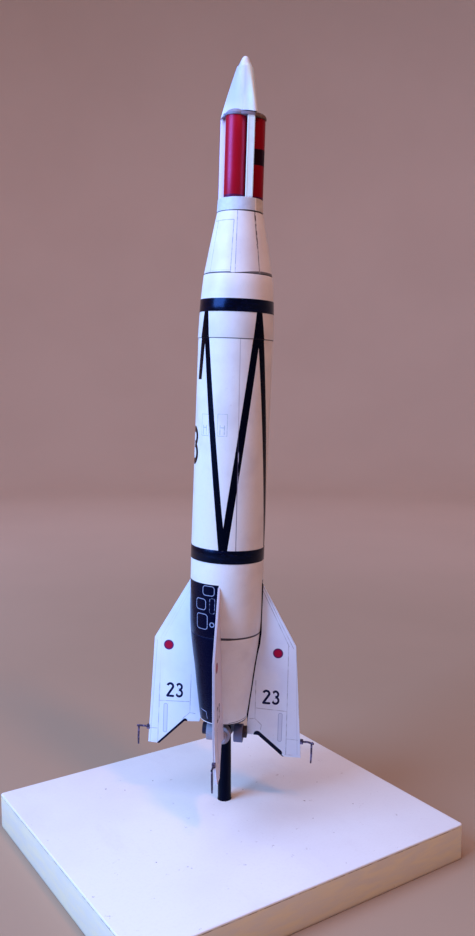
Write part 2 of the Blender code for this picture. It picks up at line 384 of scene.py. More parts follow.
class Finish:
    """The nodes of one material, in mm from its piece's place, and short calls for printed marks."""

    def __init__(self, name, place=ROCKET):
        self.material = bpy.data.materials.new(name)
        self.material.use_nodes = True
        self.tree = self.material.node_tree
        self.shader = self.tree.nodes["Principled BSDF"]
        self.colour = None
        source = self.node("TexCoord", "Object", {})
        self.point = self.node("Mapping", "Vector", {
            "Vector": source, "Location": place.to_translation(), "Rotation": place.to_euler(),
            "Scale": (MM, MM, MM),
        }, vector_type="TEXTURE")
        self.x = self.node("SeparateXYZ", "X", {0: self.point})
        self.y = self.x.node.outputs["Y"]
        self.z = self.x.node.outputs["Z"]

    def node(self, kind, output, values, **settings):
        """Adds a node, sets it and gives one of its outputs."""
        node = self.tree.nodes.new("ShaderNode" + kind)
        for name, value in settings.items():
            setattr(node, name, value)
        for key, value in values.items():
            self.put(node.inputs[key], value)
        return node.outputs[output]

    def put(self, socket, value):
        if isinstance(value, bpy.types.NodeSocket):
            self.tree.links.new(value, socket)
        elif isinstance(value, tuple) and len(value) == 3 and socket.type == "RGBA":
            socket.default_value = (*value, 1)
        else:
            socket.default_value = value

    def give(self, name, value):
        """Sets or links one of the shader's own inputs."""
        self.put(self.shader.inputs[name], value)

    def math(self, operation, *values):
        return self.node("Math", 0, dict(enumerate(values)), operation=operation)

    def plus(self, first, second):
        return self.math("ADD", first, second)

    def minus(self, first, second):
        return self.math("SUBTRACT", first, second)

    def size(self, value):
        return self.math("ABSOLUTE", value)

    def vector(self, operation, *values):
        gives_number = operation in ("DOT_PRODUCT", "LENGTH", "DISTANCE")
        output = "Value" if gives_number else "Vector"
        return self.node("VectorMath", output, dict(enumerate(values)), operation=operation)

    def off(self, place, centre):
        """A place as it is seen from a centre."""
        return self.vector("SUBTRACT", place, (*centre, 0))

    def pair(self, u, v):
        return self.node("CombineXYZ", 0, {"X": u, "Y": v})

    def ramp(self, value, low, high, at_low=0, at_high=1):
        values = {"Value": value, "From Min": low, "From Max": high, "To Min": at_low, "To Max": at_high}
        return self.node("MapRange", 0, values, interpolation_type="SMOOTHSTEP")

    def noise(self, scale, detail=2, stretch=None, roughness=0.5):
        """Noise with so many features per mm; stretch draws it out along x, y and z."""
        place = self.point
        if stretch is not None:
            place = self.vector("DIVIDE", self.point, stretch)
        values = {"Scale": scale, "Detail": detail, "Roughness": roughness, "Vector": place}
        return self.node("TexNoise", "Fac", values)

    def patch(self, noise, *levels):
        """A ramp over some noise, for stains, specks and broken lines."""
        return self.ramp(self.noise(*noise), *levels)

    def mix(self, mask, below, above):
        return self.node("Mix", 2, {0: mask, 6: below, 7: above}, data_type="RGBA")

    def coat(self, mask, colour):
        """Paints a colour over the material's colour so far."""
        self.colour = self.mix(mask, self.colour, colour)

    def times(self, *values):
        """The product, which for masks is 1 where all of them are 1."""
        result = values[0]
        for value in values[1:]:
            result = self.math("MULTIPLY", result, value)
        return result

    def either(self, *masks):
        result = masks[0]
        for mask in masks[1:]:
            result = self.math("MAXIMUM", result, mask)
        return result

    def less(self, mask, other):
        return self.times(mask, self.minus(1, other))

    def near(self, value, centre, half, soft=0.05):
        """1 where the value is within half of the centre."""
        return self.ramp(self.size(self.minus(value, centre)), half - soft, half + soft, 1, 0)

    def above(self, value, limit, soft=0.05):
        return self.ramp(value, limit - soft, limit + soft)

    def below(self, value, limit, soft=0.05):
        return self.ramp(value, limit - soft, limit + soft, 1, 0)

    def turn(self):
        """Degrees round the rocket, 0 on the side that faces the camera."""
        return self.math("DEGREES", self.math("ARCTAN2", self.y, self.x))

    def reach(self):
        """Distance from the rocket's axis."""
        return self.vector("LENGTH", self.pair(self.x, self.y))

    def stroke(self, place, first, last, width, soft=0.05):
        """A line with round ends between two points."""
        along = Vector((last[0] - first[0], last[1] - first[1], 0))
        length = along.length
        along.normalize()
        off = self.off(place, first)
        run = self.vector("DOT_PRODUCT", off, tuple(along))
        run = self.math("MINIMUM", self.either(run, 0), length)
        nearest = self.node("VectorMath", "Vector", {0: tuple(along), "Scale": run}, operation="SCALE")
        away = self.vector("DISTANCE", off, nearest)
        return self.ramp(away, 0.5 * width - soft, 0.5 * width + soft, 1, 0)

    def strokes(self, place, routes, width, soft=0.05):
        """Lines through each route's points."""
        lines = []
        for route in routes:
            for first, last in zip(route, route[1:]):
                lines.append(self.stroke(place, first, last, width, soft))
        return self.either(*lines)

    def disc(self, place, radius, soft):
        return self.ramp(self.vector("DISTANCE", place, (0, 0, 0)), radius - soft, radius + soft, 1, 0)

    def arc(self, place, centre, radius, width, gap_turn, gap_half):
        """A round stroke that is left open round the gap's direction."""
        off = self.off(place, centre)
        band = self.near(self.vector("LENGTH", off), radius, 0.5 * width)
        if gap_half <= 0:
            return band
        gap = (math.cos(math.radians(gap_turn)), math.sin(math.radians(gap_turn)), 0)
        depth = self.vector("DOT_PRODUCT", off, gap)
        return self.less(band, self.above(depth, radius * math.cos(math.radians(gap_half))))

    def box_off(self, place, centre, half, rounding):
        """Distance to a rounded box's outline, right to within its rounding."""
        off = self.vector("ABSOLUTE", self.off(place, centre))
        off = self.off(off, (half[0] - rounding, half[1] - rounding))
        off = self.vector("MAXIMUM", off, (0, 0, 0))
        return self.minus(self.vector("LENGTH", off), rounding)

    def box_line(self, place, centre, half, rounding, width):
        return self.near(self.box_off(place, centre, half, rounding), 0, 0.5 * width)

    def number(self, place):
        """The figures 23, 6.9 mm high, centred on the place's zero."""
        left = self.off(place, (-2.1, 0))
        right = self.vector("MULTIPLY", self.off(place, (2.1, 0)), (1.12, 1, 1))
        return self.either(
            self.arc(left, (0, 1.6), 1.3, 1.08, 247, 80),
            self.stroke(left, (1.08, 0.88), (-1.3, -2.85), 1.08),
            self.stroke(left, (-1.3, -2.95), (1.4, -2.95), 1.08),
            self.arc(right, (0, 1.56), 1.34, 1.08, 214, 56),
            self.arc(right, (0, -1.4), 1.54, 1.08, 146, 54),
        )

    def bump(self, height, strength, distance):
        values = {"Strength": strength, "Distance": distance * MM, "Height": height}
        self.give("Normal", self.node("Bump", "Normal", values))

    def paper(self, white=(0.8, 0.8, 0.81), shade=(0.71, 0.7, 0.72)):
        """White card: faint clouds, fibres and a few grey smudges."""
        self.colour = self.mix(self.patch((0.07, 3), 0.42, 0.72), white, shade)
        self.coat(self.patch((1.9, 4, (1, 1, 2.2)), 0.5, 0.75, 0, 0.35), shade)
        self.coat(self.patch((0.33, 5, None, 0.7), 0.63, 0.8, 0, 0.45), (0.5, 0.47, 0.5))

    def shine(self, level, tint):
        """How strongly the surface reflects, and in which colour."""
        self.give("Specular IOR Level", level)
        self.give("Specular Tint", tint)

    def card(self, ink=None, gloss=0.44):
        """Ends a card's material: its colour, a satin surface and the fibres' relief."""
        grain = self.noise(2.4, 5, None, 0.6)
        rough = self.ramp(grain, 0.3, 0.7, gloss - 0.05, gloss + 0.07)
        if ink is not None:
            rough = self.minus(rough, self.times(ink, 0.18))
            self.shine(self.ramp(ink, 0, 1, 0.4, 0.14), self.mix(ink, (1, 1, 1), INK_SHEEN))
        return self.ended(rough, grain, 0.35, 0.02)

    def ended(self, rough, relief, strength, distance):
        """Ends any material: its colour, roughness and relief."""
        self.give("Base Color", self.colour)
        self.give("Roughness", rough)
        self.bump(relief, strength, distance)
        return self.material


INK = (0.0004, 0.0006, 0.004)
NAVY = (0.0008, 0.0012, 0.013)
INK_SHEEN = (0.22, 0.4, 1)
LINE_GREY = (0.3, 0.34, 0.44)
LINE_DARK = (0.055, 0.05, 0.07)
RED_DOT = (0.4, 0.008, 0.04)


def per_degree(radius):
    """Length in mm of one degree of arc."""
    return math.radians(radius)


def dark_quarter(f, turn):
    """1 on the two printed quarters of the tail, which end under the canted fins."""
    canted = f.plus(turn, f.times(f.minus(f.z, CANT_Z), 0.132))
    return f.either(f.near(canted, -51.6, 46.1, 0.1), f.near(canted, 126.2, 43.9, 0.1))


def tail_material():
    """Tail: dark quarters with fine light panels, dark joint lines on the white quarters, and painted
    shade on its foot rim and inside.
    """
    f = Finish("Printed card tail", TAIL_PLACE)
    arc = per_degree(15.8)
    turn = f.turn()
    flat = f.pair(f.times(turn, arc), f.z)
    dark = f.less(dark_quarter(f, turn), f.above(f.z, 104.7, 0.08))
    boxes = ((-28.8, 101.8, 10.1, 2.1), (-42.8, 95.4, 9.7, 2.4), (-40.2, 87.7, 10.5, 3.4))
    panels = [
        f.box_line(flat, (at * arc, up), (wide * arc, high), 1.3, 0.31)
        for at, up, wide, high in boxes
    ]
    slot = f.box_line(flat, (-21.8 * arc, 95.2), (4.3 * arc, 3.4), 0.9, 0.28)
    panels.append(f.times(slot, f.patch((0.8,), 0.44, 0.54, 0.12, 0.75)))
    panels.append(f.arc(flat, (-21.6 * arc, 86.8), 0.95, 0.42, 0, 0))
    panels.append(f.strokes(flat, (((-63 * arc, 45.2), (-43 * arc, 44.8), (-41 * arc, 41.5)),), 0.3))
    far_marks = f.times(
        f.near(turn, -84, 1.4, 0.3),
        f.patch((0.5, 2, (1, 1, 3)), 0.5, 0.56),
        f.near(f.z, 95, 8, 0.2),
    )
    light = f.times(f.either(*panels, far_marks), f.patch((0.9,), 0.3, 0.45, 0.55, 1))

    joint = CONE_TOP_Z + 0.25
    wider = f.times(f.near(f.z, joint, 0.56, 0.07), f.near(turn, 0, 12, 6))
    seam = f.either(f.near(f.z, joint, 0.4, 0.07), wider)
    foot_line = f.stroke(flat, (14 * arc, 40.4), (74 * arc, 41.2), 0.26)
    # Painted shade: the foot rim and the hollow inside are painted near black.
    rim = f.near(f.z, TAIL_Z + 0.2, 0.36, 0.08)
    inside = f.less(f.below(f.reach(), 9.9), f.above(f.z, 46))
    f.paper()
    f.coat(f.either(seam, foot_line), LINE_DARK)
    # Painted shade on the foot rim and inside.
    f.coat(f.either(rim, inside), (0.022, 0.018, 0.028))
    f.coat(dark, NAVY)
    f.coat(f.times(dark, light), (0.3, 0.34, 0.5))
    f.coat(f.times(dark, f.near(f.z, CONE_TOP_Z + 0.1, 0.16)), (0.03, 0.04, 0.11))
    f.coat(f.times(dark, f.near(f.z, TAIL_Z, 0.42, 0.08)), (0.74, 0.76, 0.84))
    return f.card(dark)


def body_material():
    """Main tube and shoulder: zigzag stripes, a wrapped seam whose dark line is partly painted shade,
    faint panels and a number.
    """
    f = Finish("Printed card body", BODY_PLACE)
    arc = per_degree(BODY_R)
    turn = f.turn()
    flat = f.pair(f.times(turn, arc), f.z)
    waver = f.times(f.minus(f.noise(0.6), 0.5), 0.1)

    # Legs run between the fins' angles low down and the angles between them high up
    share = f.math("DIVIDE", f.minus(f.z, 116.8), 104.6)
    across = f.math("PINGPONG", f.minus(turn, FIN_TURN), 45)
    off = f.minus(across, f.times(share, 45))
    off = f.plus(f.times(off, arc), waver)
    half = f.minus(1.68, f.times(f.near(turn, -31, 22, 4), 0.22))
    legs = f.below(f.minus(f.size(off), half), 0, 0.06)
    bare = f.less(f.near(turn, -97.7, 45, 0.1), f.above(f.z, 193.4, 0.1))
    legs = f.less(f.less(legs, bare), f.above(f.z, BAND_HIGH[0] + 1))

    # The number is 2.46 times as large as those on the fins
    spot = f.pair(f.times(f.plus(turn, 96), arc / 2.46), f.math("DIVIDE", f.minus(f.z, 164.6), 2.46))
    ink = f.either(legs, f.number(spot))

    panels = []
    for at, up, wide, high in ((-45.8, 174, 7.3, 4.6), (-15, 174.3, 7.6, 4.7)):
        left = (at - 0.45 * wide) * arc
        right = (at + 0.45 * wide) * arc
        panels.append(f.box_line(flat, (at * arc, up), (wide * arc, high), 0.2, 0.2))
        panels.append(f.strokes(flat, (
            ((left, up - 4), (left, up - 0.2)),
            ((right, up - 4), (right, up - 0.2)),
            ((left, up - 1.1), (right, up - 1.1)),
        ), 0.34, 0.12))
    faint = f.times(f.either(*panels), f.patch((0.8,), 0.32, 0.55, 0.35, 0.85))

    seam_at = f.plus(SEAM_TURN, f.times(f.minus(164, f.z), SEAM_SLOPE))
    seam_off = f.times(f.minus(turn, seam_at), arc)
    seam = f.times(f.near(seam_off, 0, 0.17, 0.07), f.below(f.z, JOINT_Z))
    sliver = f.times(
        f.near(seam_off, 0.25, 0.12, 0.07),
        f.near(f.z, 155, 9.5, 1),
        f.patch((0.7, 2, (1, 1, 4)), 0.4, 0.55),
    )
    joint = f.near(f.z, JOINT_Z + 0.05, 0.17, 0.08)
    f.paper()
    f.coat(faint, (0.34, 0.42, 0.44))
    f.coat(ink, INK)
    # The seam's dark line is a real joint, with painted shade that makes it darker lower down.
    f.coat(f.times(seam, f.ramp(f.z, 140, 172, 0.85, 0.3)), (0.13, 0.11, 0.19))
    f.coat(sliver, (0.55, 0.52, 0.62))
    f.coat(f.times(joint, f.ramp(turn, -70, 10, 0.4, 0.85)), LINE_DARK)
    return f.card(ink)


def band_material():
    """Dark printed bands, with a slight sheen and paler cut edges."""
    f = Finish("Dark printed band")
    f.colour = f.mix(f.patch((0.35, 4, (1, 1, 0.3)), 0.4, 0.75), INK, (0.001, 0.003, 0.02))
    edge = f.either(
        f.near(f.z, BAND_LOW[0], 0.09), f.near(f.z, BAND_LOW[1], 0.07),
        f.near(f.z, BAND_HIGH[0], 0.09), f.near(f.z, BAND_HIGH[1], 0.07),
    )
    f.coat(f.times(edge, f.patch((0.9, 3), 0.52, 0.66)), (0.1, 0.1, 0.14))
    f.shine(0.34, INK_SHEEN)
    return f.card(None, 0.2)


def taper_material():
    """Taper and collar: fine panel lines, a rough seam, painted shadow in the gap at each end, and painted
    light and shade on the collar.
    """
    f = Finish("Printed card taper")
    turn = f.turn()
    up = f.math("DIVIDE", f.minus(f.z, RING_TOP_Z), TAPER_TOP_Z - RING_TOP_Z)
    arc = f.times(f.ramp(f.z, RING_TOP_Z, TAPER_TOP_Z, RING_TOP_R, TAPER_TOP_R), per_degree(1))
    below_top = f.below(f.z, 264.9)

    def upright(low, high, half):
        """A line up the cone, from one angle at its foot to another at its top."""
        at = f.plus(low, f.times(up, high - low))
        return f.near(f.times(f.minus(turn, at), arc), 0, half, 0.06)

    past_line = f.above(f.z, 261)
    lines = f.either(
        upright(-4.7, -5.4, 0.14),
        f.less(upright(-12.4, -12.6, 0.15), past_line),
        f.less(f.times(upright(-53.5, -57.5, 0.15), 0.85), past_line),
        f.times(f.near(f.z, 261, 0.14), f.near(turn, -40.3, 27.8, 0.4)),
        upright(115, 115.5, 0.14), upright(160, 160, 0.14), upright(-112, -113, 0.14),
    )
    lines = f.times(lines, f.patch((0.5, 3), 0.34, 0.58, 0.45, 1), below_top)
    strip = f.times(f.near(turn, -8.7, 3.7, 0.4), f.below(f.z, 265))

    dashes = f.patch((0.9, 3, (1, 1, 1.6)), 0.36, 0.52)
    seam = f.times(below_top, f.either(
        f.times(upright(38, 39.7, 0.2), f.either(dashes, f.ramp(f.z, 244, 252, 0.75, 0.35))),
        f.times(upright(36.6, 37.4, 0.12), dashes, f.above(f.z, 250, 1)),
    ))

    # Painted shadow in the gap at the foot, rising higher towards the right and behind
    behind = f.either(f.above(turn, 100, 5), f.below(turn, -75, 5))
    shadow_rise = f.either(f.ramp(turn, -5, 37, 0.12, 1), f.times(behind, 0.5))
    left_foot = f.near(turn, -42, 30, 1)
    foot = f.either(
        f.below(f.minus(f.z, f.plus(RING_TOP_Z + 0.2, shadow_rise)), 0, 0.07),
        f.times(left_foot, f.near(f.z, RING_TOP_Z + 0.42, 0.24, 0.06)),
    )
    foot = f.less(foot, f.either(f.near(turn, -8.7, 3.6, 0.3), f.near(turn, 38.2, 1.2, 0.3)))
    second = f.times(
        f.near(f.z, RING_TOP_Z + 1.25, 0.1),
        f.either(f.times(left_foot, 0.6), f.near(turn, 66, 26, 1)),
    )
    # Painted shadow at the head, wider on the shaded side
    shade_side = f.ramp(f.size(f.minus(turn, 40)), 20, 48, 1, 0.35)
    head_half = f.plus(0.13, f.times(shade_side, 0.22))
    head = f.below(f.minus(f.size(f.minus(f.z, TAPER_TOP_Z + 0.1)), head_half), 0, 0.06)
    shadow_strength = f.either(f.ramp(turn, -30, -2, 0.3, 0.8), f.times(f.below(f.z, 250), 0.85))

    on_collar = f.above(f.z, TAPER_TOP_Z + 0.1)
    worn = f.patch((0.3, 4, None, 0.6), 0.36, 0.66)
    # Painted light and shade on the collar: a cool lit colour, and a tan shaded colour
    cool = f.mix(worn, (0.62, 0.7, 0.8), (0.55, 0.61, 0.72))
    tan = f.mix(worn, (0.64, 0.6, 0.53), (0.53, 0.49, 0.46))
    f.paper()
    f.coat(f.times(strip, 0.25), (0.88, 0.9, 0.93))
    # Painted shade: the collar turns tan on its shaded right side
    f.coat(on_collar, f.mix(f.near(turn, 99, 55, 0.3), cool, tan))
    f.coat(f.times(on_collar, f.near(turn, 42, 2.4, 0.5)), (0.86, 0.86, 0.84))
    f.coat(f.either(lines, f.times(second, 0.7)), LINE_GREY)
    f.coat(seam, LINE_DARK)
    # Painted shadow in the gaps at the foot and the head, darker towards the right and along the foot
    f.coat(f.times(f.either(foot, head), shadow_strength), (0.02, 0.018, 0.03))
    return f.card()


def tube_material(shaded_and_banded):
    """Crimson printed tube, slightly glossy, with a foot darkened as painted shade; the banded tube is
    painted a darker crimson as painted shade.
    """
    f = Finish("Crimson tube with band and painted shade" if shaded_and_banded else "Crimson tube")
    clouds = f.patch((0.1, 3, (1, 1, 4)), 0.35, 0.7)
    # Painted shade: the tube on the right gets a darker crimson
    if shaded_and_banded:
        f.colour = f.mix(clouds, (0.27, 0.0004, 0.004), (0.23, 0.0003, 0.003))
    else:
        f.colour = f.mix(clouds, (0.41, 0.0005, 0.012), (0.37, 0.0005, 0.008))
    f.coat(f.patch((1.5,), 0.79, 0.84, 0, 0.4), (0.62, 0.16, 0.12))
    # Painted shade at the foot, where the tube meets the collar
    f.coat(f.times(f.near(f.z, COLLAR_TOP_Z + 0.4, 0.75, 0.25), 0.85), (0.045, 0.008, 0.06))
    if shaded_and_banded:
        f.coat(f.near(f.z, 288.25, 3.35, 0.12), (0.008, 0.0004, 0.0008))
    f.shine(0.16 if shaded_and_banded else 0.64, (0.9, 0.38, 1))
    grain = f.noise(1.6, 5, (1, 1, 2))
    return f.ended(f.ramp(grain, 0.3, 0.7, 0.33, 0.41), grain, 0.14, 0.008)


def bar_material():
    """White folded card between the tubes: the front bar painted cooler and lighter as painted light, the
    others lavender as in shade, with painted shade at both ends.
    """
    f = Finish("Folded card bar")
    # Painted light: the front bar is cool and bright, the others lavender as in shade
    f.colour = f.mix(f.near(f.turn(), 30, 50, 10), (0.86, 0.74, 0.93), (0.8, 0.96, 0.94))
    f.coat(f.patch((0.4, 4, None, 0.6), 0.45, 0.75, 0, 0.35), (0.7, 0.72, 0.8))
    # Painted shade at the bar's foot and at its top under the caps
    ends = f.either(f.near(f.z, COLLAR_TOP_Z + 0.3, 0.3, 0.1), f.near(f.z, TUBE_TOP_Z - 0.2, 0.4, 0.2))
    f.coat(f.times(ends, 0.45), (0.36, 0.34, 0.42))
    return f.card()


def cap_material():
    """Card caps painted dark grey, partly as the shade under the nose, and brown on the right as painted
    shade.
    """
    f = Finish("Grey card cap in painted shade")
    stain = f.patch((0.45, 4), 0.38, 0.62)
    # Painted shade: dark grey, partly for the shade under the nose; brown on the shaded right side
    grey = f.mix(stain, (0.17, 0.19, 0.31), (0.2, 0.2, 0.29))
    brown = f.mix(stain, (0.14, 0.075, 0.045), (0.1, 0.06, 0.045))
    f.colour = f.mix(f.near(f.turn(), 90, 54, 3), grey, brown)
    f.coat(f.patch((2.2, 4), 0.52, 0.7, 0, 0.35), (0.3, 0.28, 0.33))
    return f.card(None, 0.52)


def nose_material():
    """White card nose with a soft crease down its front, two folds and a greyer tip, and painted light and
    shade: a blue-grey tint, shaded streaks, a shaded crease and upper left, and a lighter right side, foot
    and folds.
    """
    f = Finish("Shaped card nose")
    turn = f.turn()
    arc = f.times(f.reach(), per_degree(1))
    crease_off = f.times(f.minus(turn, 5), arc)
    # Painted shade along the crease
    crease = f.times(f.near(crease_off, 0, 0.35, 0.6), f.near(f.z, 318.5, 5, 2.5))
    # Painted shade on the upper left and painted light on the right
    left = f.times(f.ramp(turn, -52, 8, 1, 0), f.ramp(f.z, 304, 312, 0.55, 1))
    right = f.times(f.ramp(turn, 6, 26), f.ramp(f.z, 305, 314, 0.2, 0.9))
    # Painted highlights on the two folds near the foot
    fold = f.either(f.near(turn, 43, 3.2, 2), f.near(turn, -80, 3, 2))
    # Painted light and shade: a blue-grey tint for the cool light, streaks of painted shade, a shaded
    # upper left, and painted light on the right, towards the foot, round the right corner and on the folds
    f.paper((0.66, 0.74, 0.82), (0.58, 0.67, 0.77))
    f.coat(f.times(f.patch((0.3, 4, (0.7, 0.7, 3.5), 0.6), 0.4, 0.66), 0.55), (0.5, 0.6, 0.76))
    f.coat(left, (0.44, 0.5, 0.75))
    f.coat(right, (0.68, 0.93, 0.88))
    f.coat(f.times(f.ramp(f.z, 306.5, 313, 1, 0), 0.45), (0.74, 0.76, 0.82))
    f.coat(f.times(crease, 0.5), (0.37, 0.53, 0.68))
    f.coat(f.near(turn, 60, 18, 4), (0.66, 0.86, 0.98))
    f.coat(f.times(fold, f.ramp(f.z, 303, 308)), (0.82, 0.86, 0.9))
    f.coat(f.ramp(f.z, 326.2, 328.6, 0, 0.8), (0.57, 0.6, 0.66))
    f.coat(f.times(f.near(f.z, TIP_Z, 0.1), 0.2), (0.4, 0.42, 0.5))
    return f.card()


# Height and radius of the line where the fins meet the body, for its printed shadow
ROOT_STATIONS = (
    (38.6, 10.4), (47, 11.3), (64, 13.3), (75, 14.8), (80.4, 15.3), (86, 15.6), (92, 15.7),
)
# The curve's two axes run from 0 to 1: heights from 30 mm over 80 mm, and radii over 20 mm
ROOT_FOOT = 30
ROOT_SPAN = 80
ROOT_REACH = 20


def root_radius(f):
    """Radius of the fins' root at each height."""
    root = f.node("FloatCurve", 0, {"Value": f.math("DIVIDE", f.minus(f.z, ROOT_FOOT), ROOT_SPAN)})
    mapping = root.node.mapping
    curve = mapping.curves[0]
    curve.points[0].location = (0, ROOT_STATIONS[0][1] / ROOT_REACH)
    curve.points[1].location = (1, 0.8)
    for height, radius in ROOT_STATIONS:
        curve.points.new((height - ROOT_FOOT) / ROOT_SPAN, radius / ROOT_REACH)
    for knot in curve.points:
        knot.handle_type = "VECTOR"
    mapping.update()
    return f.times(root, ROOT_REACH)


def fin_material():
    """Fins: fine hinge lines, a red dot, a number, a slot and a dark trailing edge on both sides, with
    painted light and shade: a blue tint, duller front and back fins, a shaded hinge fold and dark edges.
    """
    f = Finish("Laminated card fin")
    turn = f.turn()
    reach = f.reach()
    flat = f.pair(reach, f.z)
    aside = f.math("WRAP", f.minus(turn, FIN_TURN), 45, -45)
    aside = f.times(reach, f.math("SINE", f.math("RADIANS", aside)))
    aside = f.plus(aside, f.times(f.minus(f.z, CANT_Z), math.tan(math.radians(CANT_DEG))))
    side = f.math("SIGN", aside)
    on_right = f.near(turn, FIN_TURN + 90, 45)
    on_left = f.near(turn, FIN_TURN - 90, 45)
    wide = f.either(on_left, on_right)

    def placed(out, change, height):
        """A place whose zero sits so far out, a little differently on each side of the fin."""
        return f.pair(f.minus(reach, f.plus(out, f.times(side, change))), f.minus(f.z, height))

    dot_place = placed(25.3, 1.4, 71.4)
    dot_rim = f.disc(dot_place, 2.32, 0.14)
    number_at = f.plus(22.3, side)
    number = f.number(f.pair(f.times(f.minus(number_at, reach), side), f.minus(f.z, 50.4)))
    slot = (placed(26.6, 0.7, f.plus(36.3, f.times(on_left, 0.6))), (0, 0), (0.86, 6.8), 0.8)
    slot_fill = f.ramp(f.box_off(*slot), -0.1, 0.1, 0.42, 0)

    # The left fin's panel lines sit further out and higher than the others'
    inner = f.vector("SUBTRACT", flat, f.pair(f.times(on_left, 1.6), f.times(on_left, 0.7)))
    broken = f.patch((0.35, 3), 0.36, 0.6, 0.35, 0.9)
    lines = f.times(broken, f.strokes(inner, (
        ((28.6, 75), (29, 23.3)),
        ((14.7, 44.7), (28.7, 44.2)),
        ((29.1, 31), (34.1, 30.9)),
        ((14.2, 57.8), (14.3, 39.6), (11.8, 39.3)),
        ((14.3, 39.6), (17.4, 36.7), (17, 34.5)),
    ), 0.28, 0.09))
    lines = f.less(lines, f.times(on_left, f.ramp(f.z, 52, 62, 0, 0.85)))
    lead = f.times(broken, f.strokes(flat, (
        ((15.8, 101), (28.8, 75)),
        ((16.2, 102.4), (25, 85), (30.9, 74)),
    ), 0.26, 0.09))
    lines = f.either(lines, f.less(lead, f.times(on_left, 0.85)))
    # Painted shade along the hinge's fold
    hinge = f.stroke(flat, (32.1, 73.3), (34.2, 24), 0.22, 0.1)
    # The strip beyond the outer panel line is tinted as painted light and shade on the folded card
    strip = f.less(f.ramp(reach, 28.7, 29.1, 0, 0.35), f.above(f.z, 75, 0.5))

    trailing = f.times(f.patch((0.8,), 0.16, 0.28), f.either(
        f.times(f.stroke(flat, (29.8, 24.4), (18, 36.2), 2.3, 0.14), on_left),
        f.times(f.stroke(flat, (25.6, 23.9), (15.6, 32), 3.5, 0.14), on_right),
        f.less(f.stroke(flat, (28.6, 23.2), (17.1, 34.3), 0.9, 0.14), wide),
        f.times(f.stroke(flat, (27.6, 22.3), (24.6, 23.6), 1, 0.14), on_right),
    ))
    # Painted shade: a dark line along the right fin's outer edge, and dark edge faces on the side fins,
    # for their unlit card edges
    outer = f.strokes(flat, (FIN_OUTLINE[:4],), 0.42, 0.12)
    outer = f.times(outer, f.patch((0.16, 3), 0.46, 0.66, 0, 0.75), on_right)
    edge_face_shade = f.less(f.math("LESS_THAN", f.size(aside), 0.47), wide)

    thick = f.ramp(f.size(f.minus(f.z, 78)), 2, 9, 0.85, 0.5)
    root_line = f.times(
        f.below(f.minus(f.minus(reach, root_radius(f)), thick), 0, 0.08),
        f.math("LESS_THAN", side, 0),
        f.above(f.z, 38, 0.2),
        wide,
    )

    # Painted light and shade: the card is tinted blue for the cool light, and the front and back fins are
    # a duller lavender in shade
    f.paper((0.785, 0.865, 1), (0.72, 0.79, 0.955))
    f.coat(f.minus(1, wide), (0.7, 0.66, 0.76))
    f.coat(strip, (0.74, 0.8, 0.92))
    f.coat(f.times(hinge, 0.45), LINE_GREY)
    f.coat(lines, LINE_GREY)
    f.coat(slot_fill, (0.5, 0.56, 0.74))
    f.coat(f.times(f.box_line(*slot, 0.26), 0.75), (0.26, 0.32, 0.52))
    f.coat(dot_rim, (0.11, 0.012, 0.1))
    f.coat(f.disc(dot_place, 1.72, 0.22), RED_DOT)
    f.coat(number, (0.006, 0.008, 0.045))
    f.coat(f.times(outer, 0.75), (0.1, 0.08, 0.12))
    f.coat(f.times(edge_face_shade, 0.8), (0.4, 0.36, 0.42))
    f.coat(f.either(trailing, root_line), (0.003, 0.0025, 0.012))
    return f.card(f.either(number, dot_rim, trailing, root_line), 0.46)


def metal_material():
    """Blackened wire with worn, brighter places."""
    f = Finish("Blackened wire")
    wear = f.patch((0.8, 4), 0.46, 0.66)
    f.colour = f.mix(wear, (0.045, 0.035, 0.075), (0.19, 0.16, 0.3))
    f.give("Metallic", 0.7)
    return f.ended(f.ramp(wear, 0, 1, 0.52, 0.34), f.noise(3, 3), 0.3, 0.02)


def vane_material():
    """Grey card blocks, stained and a little dirty, with painted shade on the right one."""
    f = Finish("Grey card vane")
    f.colour = f.mix(f.patch((0.3, 4), 0.36, 0.66), (0.295, 0.29, 0.39), (0.31, 0.31, 0.375))
    # Painted shade: the block on the right is darker
    f.coat(f.near(f.turn(), 80, 38, 2), (0.125, 0.155, 0.31))
    f.coat(f.patch((1.3, 4), 0.56, 0.74, 0, 0.5), (0.17, 0.15, 0.16))
    return f.card(None, 0.5)


def hub_material():
    """Dark brown card bosses, painted navy on the left for the cool light there."""
    f = Finish("Brown card boss")
    # Painted light: navy on the left where the cool light falls, brown elsewhere
    f.colour = f.mix(f.above(f.turn(), 30, 5), (0.012, 0.014, 0.045), (0.05, 0.036, 0.04))
    f.coat(f.patch((0.6, 4), 0.36, 0.64), (0.022, 0.018, 0.03))
    f.give("Specular IOR Level", 0.18)
    return f.card(None, 0.5)


